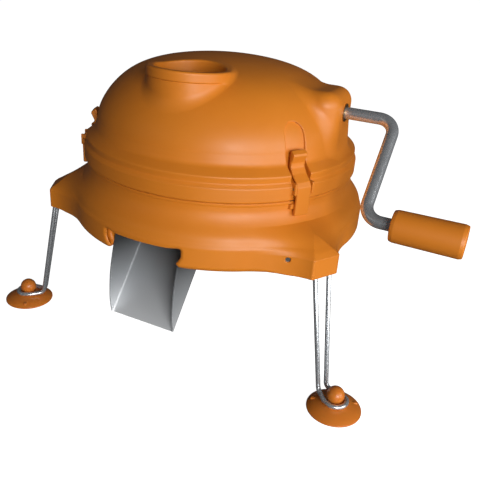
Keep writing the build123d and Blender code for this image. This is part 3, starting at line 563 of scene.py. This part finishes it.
def base_field(x, y, z):
    """The ring with its three arms, the chute's mouth, the latch catches and the arms' screw holes."""
    r = np.hypot(x, y)
    plan = r - BASE_R
    for angle in LEG_ANGLES:
        out, side = local(x, y, angle)
        flank = (np.abs(side) - ARM_HALF - (ARM_END - out) * tan(ARM_SLOPE)) * cos(ARM_SLOPE)
        arm = meet(np.maximum(flank, 60.0 - out), out - ARM_END, 1.2)
        plan = join(plan, arm, 24.0)
    # the plan shrinks from the arms' outline to the neck's circle on the way up
    rise = np.clip((z - ARM_TOP) / 18.7, 0, 1)
    skin = (1 - rise) * plan + rise * (r - BASE_R) + BASE_R - np.interp(z, shoulder_z, shoulder_r)
    edge = 0.8 + 4.0 * np.clip((145.0 - r) / 8.0, 0, 1)
    base = meet(skin, BASE_LOW - z, edge)
    base = np.maximum(base, room_profile(r, z))
    jamb = np.maximum(np.maximum(slab(x, 40.0), y + 90.0), np.maximum(r - 131.0, 122.5 - r))
    jamb = np.maximum(jamb, np.maximum(BASE_LOW - z, z - 137.0))
    base = np.minimum(base, jamb)
    # the mouth is narrower low down, which leaves a small hook on each of its sides
    mouth_half = 31.2 + 3.6 * np.clip((z - 113.4) / 6.0, 0, 1) ** 0.7
    gap = meet(np.maximum((np.abs(x) - mouth_half) * 0.8, y + 90.0), z - MOUTH_TOP, 1.0)
    base = cut(base, gap, 0.9 + 2.4 * np.clip((np.abs(x) - 24.0) / 8.0, 0, 1))
    for angle in LATCH_ANGLES:
        out, side = local(x, y, angle)
        catch = meet(plate(side, z - 158.2, 9.6, 2.2, 0.7), np.maximum(out - 125.6, 119.9 - out), 0.7)
        base = np.minimum(base, catch)
    for angle in LEG_ANGLES:
        out, side = local(x, y, angle + SCREW_TURN)
        hole = np.maximum(np.hypot(side - SCREW_SIDE, z - SCREW_Z) - 2.12, SCREW_FACE - 9.0 - out)
        base = cut(base, hole, 0.3)
    return base


grid = (theta, steps((110.8, 1.0), (128.0, 0.62), (138.0, 0.85), 161.0), steps((107.6, 0.6), 163.4))
points, quads, normals = mesh_field(base_field, grid, polar, True)
piece("base_shell", points, quads, "frame", orange, ["base_housing"], normals)


# ---- latches --------------------------------------------------------------------------------
LATCH_OUTSIDE = ((124.9, 150.8), (128.7, 150.8), (128.7, 174.4), (126.6, 178.2), (121.0, 183.0),
                 (117.4, 187.6), (117.2, 191.4), (119.8, 197.0), (119.4, 199.0), (116.0, 201.4))
LATCH_INSIDE = ((114.4, 200.4), (113.9, 190.5), (114.4, 187.0), (119.2, 181.4), (124.0, 177.8),
                (124.0, 169.4), (126.0, 167.4), (126.0, 156.1), (124.8, 155.4))
LATCH_CORNERS = (0.8, 1.2, 2.0, 2.5, 4.0, 4.0, 3.0, 0.8, 0.8, 0.8,
                 0.8, 2.0, 2.0, 2.0, 1.0, 0.5, 0.5, 0.5, 0.5)
latch_line = rounded(LATCH_OUTSIDE + LATCH_INSIDE, LATCH_CORNERS, True, 5)
latch_profile = Outline(latch_line, (110, 147), (132, 205), 0.1)


def latch_field(x, y, z):
    """The lever at angle 0, with its pin's hole."""
    lever = meet(latch_profile(-y, z), slab(x, 6.8), 0.9)
    pin = np.hypot(-y - HINGE_R, z - HINGE_Z) - 1.25
    return np.maximum(lever, -pin)


grid = (np.arange(-7.4, 7.5, 0.4), np.arange(-130.0, -112.9, 0.4), np.arange(149.6, 202.8, 0.4))
points, quads, normals = mesh_field(latch_field, grid, lambda x, y, z: (x, y, z), False)
for number, angle in enumerate(LATCH_ANGLES, 1):
    piece(f"lever_skin_{number}", turned(points, angle), quads, f"lever_{number}", orange,
          [f"latch_{number}"], turned(normals, angle))


# ---- suction cups ---------------------------------------------------------------------------
cup_line = [(-8, 4.6), (-8, 11.0), (4.6, 11.0), (5.2, 9.4)]
cup_line += spline(((5.2, 9.0), (8.5, 7.0), (22.9, 1.4)), (0, -1), (0.7, -0.5))
cup_line += [(22.9, 0.35), (22.6, 0.0), (19.4, 0.0)]
cup_line += spline(((19.4, 0.0), (11.0, 3.2), (0.0, 4.6)), (-0.8, 0.6), (-1, 0))
cup_profile = Outline(cup_line, (0, -2), (26, 24), 0.1)
BALL_R, BALL_Z = 7.5, 14.2
CUP_TABS = {60: (215.0, 66.0), 180: (215.0, 66.0), 300: (92.0, 303.0)}


def cup_field(tabs):
    """The cup with its ball and its two pull tabs, which point at the angles given."""
    def field(x, y, z):
        r = np.hypot(x, y)
        body = cup_profile(r, z)
        body = join(body, np.sqrt(x * x + y * y + (z - BALL_Z) ** 2) - BALL_R, 0.9)
        for tab in tabs:
            a = radians(tab - 90)
            along, side = x * cos(a) + y * sin(a), y * cos(a) - x * sin(a)
            ear = meet(plate(along - 18.4, side, 1.7, 1.3, 0.5), z - 5.0, 0.5)
            body = join(body, np.maximum(ear, 1.4 - z), 0.6)
        return body
    return field


grid = (np.linspace(0, 2 * pi, 200, endpoint=False), steps((0.4, 0.45), 23.6), steps((-0.7, 0.35), 22.4))
for number, angle in enumerate(LEG_ANGLES, 1):
    points, quads, normals = mesh_field(cup_field(CUP_TABS[angle]), grid, polar, True)
    # the lattice leaves a small hole on the axis at the ball's top and in the cup's roof
    caps = []
    off_axis = np.hypot(points[:, 0], points[:, 1])
    for height in (21.0, 4.0):
        near = np.flatnonzero((off_axis < 0.9) & (np.abs(points[:, 2] - height) < 1.5))
        near = near[np.argsort(np.arctan2(points[near, 1], points[near, 0]))]
        if len(near) > 2:
            caps.append(list(near))
    points = turned(points + (0, -FOOT_R, 0), angle)
    piece(f"cup_skin_{number}", points, quads.tolist() + caps, "frame", orange_cup,
          [f"suction_cup_{number}"], turned(normals, angle))


# ---- bent rods and wires --------------------------------------------------------------------
def skin_rings(count, sides):
    """Faces between rings of points, each ring with as many points as there are sides."""
    around = [(j, (j + 1) % sides) for j in range(sides)]
    return [(k * sides + a, k * sides + b, (k + 1) * sides + b, (k + 1) * sides + a)
            for k in range(count - 1) for a, b in around]


def tube(route, radius, sides=28, cap=0.5):
    """Round bar along a route, with slightly rounded ends."""
    p = [np.asarray(route[0], float)]
    for q in route[1:]:
        if np.linalg.norm(q - p[-1]) > 1e-4:
            p.append(np.asarray(q, float))
    p = np.array(p)
    tangent = np.gradient(p, axis=0)
    tangent /= np.linalg.norm(tangent, axis=1, keepdims=True)
    side = np.cross(tangent[0], (0.3, 0.5, 0.8))
    rings = []
    for k, (spot, along) in enumerate(zip(p, tangent)):
        side = side - along * (side @ along)
        side /= np.linalg.norm(side)
        other = np.cross(along, side)
        turns = np.linspace(0, 2 * pi, sides, endpoint=False)
        circle = np.outer(np.cos(turns), side) + np.outer(np.sin(turns), other)
        ends = []
        if k == 0:
            ends = [(0, radius - cap), (cap * 0.3, radius - cap * 0.3), (cap, radius)]
        elif k == len(p) - 1:
            ends = [(-cap, radius), (-cap * 0.3, radius - cap * 0.3), (0, radius - cap)]
        for shift, size in ends or [(0, radius)]:
            rings.append(spot + along * shift + circle * size)
    points = np.vstack(rings)
    count = len(rings)
    faces = skin_rings(count, sides)
    faces += [tuple(range(sides))[::-1], tuple(range((count - 1) * sides, count * sides))]
    return points, faces


CRANK_ROD, CRANK_BEND = 5.0, 14
SHAFT_START, CRANK_X, ROD_END = 11, 157.4, 231.4
crank_corners = [(SHAFT_START, 0, SHAFT_Z), (CRANK_X, 0, SHAFT_Z),
                 (CRANK_X, GRIP_Y, GRIP_Z), (ROD_END, GRIP_Y, GRIP_Z)]
crank_route = rounded(crank_corners, (CRANK_BEND, CRANK_BEND), steps=16)
points, faces = tube(crank_route, CRANK_ROD, 40, 0.8)
piece("crank_bar", points, faces, "crank", rod_steel, ["crank_rod"])

# each leg comes down from the arm, bends, and goes round the cup's neck and back
LEG_WIRE, LEG_TOP = 2.0, (7.7, -154.0, 121.2)
KNEE_SIDE, KNEE_R = 4.3, 175.2
LOOP_R, LOOP_Z = 9.7, 9.4
reach = hypot(FOOT_R - KNEE_R, KNEE_SIDE)
touch = pi - atan2(KNEE_SIDE, FOOT_R - KNEE_R) - np.arccos(LOOP_R / reach)
touch_spot = (LOOP_R * sin(touch), -(FOOT_R + LOOP_R * cos(touch)), LOOP_Z)
half_route = rounded([LEG_TOP, (KNEE_SIDE, -KNEE_R, LOOP_Z), touch_spot], (5.0,), steps=10)
loop = [np.array((LOOP_R * sin(t), -FOOT_R - LOOP_R * cos(t), LOOP_Z))
        for t in np.linspace(pi - touch, touch - pi, 41)]
loop_route = half_route + loop[1:-1] + [q * (-1, 1, 1) for q in reversed(half_route)]
for number, angle in enumerate(LEG_ANGLES, 1):
    points, faces = tube(loop_route, LEG_WIRE, 24, 0.3)
    piece(f"leg_bar_{number}", turned(points, angle), faces, "frame", rod_steel, [f"leg_wire_{number}"])


# ---- crank grip -----------------------------------------------------------------------------
def lathe(profile, sides=96):
    """Turned shape about the grip's axis, from (x, radius) points."""
    turns = np.linspace(0, 2 * pi, sides, endpoint=False)
    points = [(x, GRIP_Y + r * cos(t), GRIP_Z + r * sin(t)) for x, r in profile for t in turns]
    return points, skin_rings(len(profile), sides)


grip_line = rounded([(182.4, 5.1), (180.1, 5.4), (180.1, 11.8), (183.1, 12.6), (230.6, 13.0), (233.6, 12.2),
                     (233.6, 7.7), (231.1, 7.7), (231.1, 5.1)], (0.3, 1.0, 2.0, 2.0, 1.2, 0.5, 0.2), steps=6)
points, faces = lathe(grip_line)
piece("grip_skin", points, faces, "grip", orange_grip, ["crank_grip"])
cap_line = rounded([(231.4, 0.01), (231.4, 7.4), (233.8, 7.4), (233.8, 0.01)], (0.2, 1.0), steps=6)
points, faces = lathe(cap_line, 64)
piece("grip_cap_skin", points, faces, "crank", orange_grip, ["grip_cap"])


# ---- discharge chute ------------------------------------------------------------------------
# in the side view, (y, z): the floor runs from the tip up to the top, and the walls stand off it
TIP, TOP = np.array((-131.6, 48.4)), np.array((-58.0, 137.6))
HALF_WIDE, BEND = 30.6, 2.0
along = (TOP - TIP) / np.linalg.norm(TOP - TIP)
out = np.array((-along[1], along[0]))
front = spline(((-127.6, 109.0), (-132.6, 88.0), (-134.2, 69.0), tuple(TIP)), (-0.28, -1), (0.45, -1), 14)
side_line = [np.array(q) for q in reversed(front)]
side_line += [np.array(q) for q in ((-122.5, 123.4), (-110.5, 124.6), (-107.0, 138.7), (-58.0, 138.7))]
reach_along = np.array([(q - TIP) @ along for q in side_line])
reach_out = np.array([(q - TIP) @ out for q in side_line])
order = np.argsort(reach_along)
reach_along, reach_out = reach_along[order], reach_out[order]
rows = np.concatenate((np.linspace(0, np.linalg.norm(TOP - TIP), 90), reach_along[reach_along > 0]))
rows = np.unique(rows)
points = []
for row in rows:
    wall = max(BEND + 0.3, float(np.interp(row, reach_along, reach_out)))
    left = [(-HALF_WIDE, wall - (wall - BEND) * k / 14) for k in range(15)]
    left += [(-HALF_WIDE + BEND * (1 - cos(t)), BEND * (1 - sin(t))) for t in np.linspace(0, pi / 2, 8)[1:]]
    middle = [(x, 0.0) for x in np.linspace(BEND - HALF_WIDE, HALF_WIDE - BEND, 25)[1:-1]]
    section = left + middle + [(-x, h) for x, h in reversed(left)]
    for x, h in section:
        y, z = TIP + along * row + out * h
        points.append((x, y, z))
width = len(section)
faces = [(k * width + j, k * width + j + 1, (k + 1) * width + j + 1, (k + 1) * width + j)
         for k in range(len(rows) - 1) for j in range(width - 1)]
chute = piece("chute_sheet", points, faces, "frame", sheet_steel_painted_shade, ["discharge_chute"])
thick = chute.modifiers.new("thickness", "SOLIDIFY")
thick.thickness = 0.001
thick.offset = -1.0
thick.use_even_offset = True
edge = chute.modifiers.new("edge", "BEVEL")
edge.width = 0.00025
edge.segments = 2
edge.limit_method = "ANGLE"


# ---- floor, light ---------------------------------------------------------------------------
def soft_light(name, spot, target, size, power):
    """Rectangular soft light, aimed at a point; both are in metres about the spindle."""
    data = bpy.data.lights.new(name, "AREA")
    data.shape = "RECTANGLE"
    data.size, data.size_y = size
    data.energy = power
    lamp = bpy.data.objects.new(name, data)
    bpy.context.scene.collection.objects.link(lamp)
    spot, target = AXIS + Vector(spot), AXIS + Vector(target)
    aim = (target - spot).to_track_quat("-Z", "Y").to_matrix().to_4x4()
    lamp.matrix_world = Matrix.Translation(spot) @ aim


soft_light("key_front", (1.08, -1.20, 0.50), (0.0, 0.0, 0.17), (0.8, 0.7), 19.5)
soft_light("fill_right", (1.5, -0.25, 0.38), (0.0, 0.0, 0.17), (0.8, 1.0), 10.0)
soft_light("front_left", (-0.72, -1.12, 0.60), (0.0, -0.1, 0.08), (0.7, 0.5), 0.3)

FLOOR_HALF, FLOOR_Z = 40, -0.0003
floor_mesh = bpy.data.meshes.new("floor")
floor_corners = [(x * FLOOR_HALF, y * FLOOR_HALF, FLOOR_Z) for x, y in ((-1, -1), (1, -1), (1, 1), (-1, 1))]
floor_mesh.from_pydata(floor_corners, [], [(0, 1, 2, 3)])
floor = bpy.data.objects.new("floor", floor_mesh)
bpy.context.scene.collection.objects.link(floor)
white = Nodes("pale_floor")
white.set(Base_Color=white.ramp(white.noise(3.0), (0.3, grey(0.82)), (0.7, grey(0.84))), Roughness=0.9,
          Specular_IOR_Level=0.0, Emission_Color=(1, 1, 1, 1), Emission_Strength=0.98)
floor_mesh.materials.append(white.material)
floor.visible_diffuse = False
floor.visible_glossy = False

world = bpy.data.worlds.new("studio")
bpy.context.scene.world = world
world.use_nodes = True
background = world.node_tree.nodes["Background"]
background.inputs["Color"].default_value = (1, 1, 1, 1)
background.inputs["Strength"].default_value = 0.05
bpy.context.scene.view_settings.view_transform = "Standard"
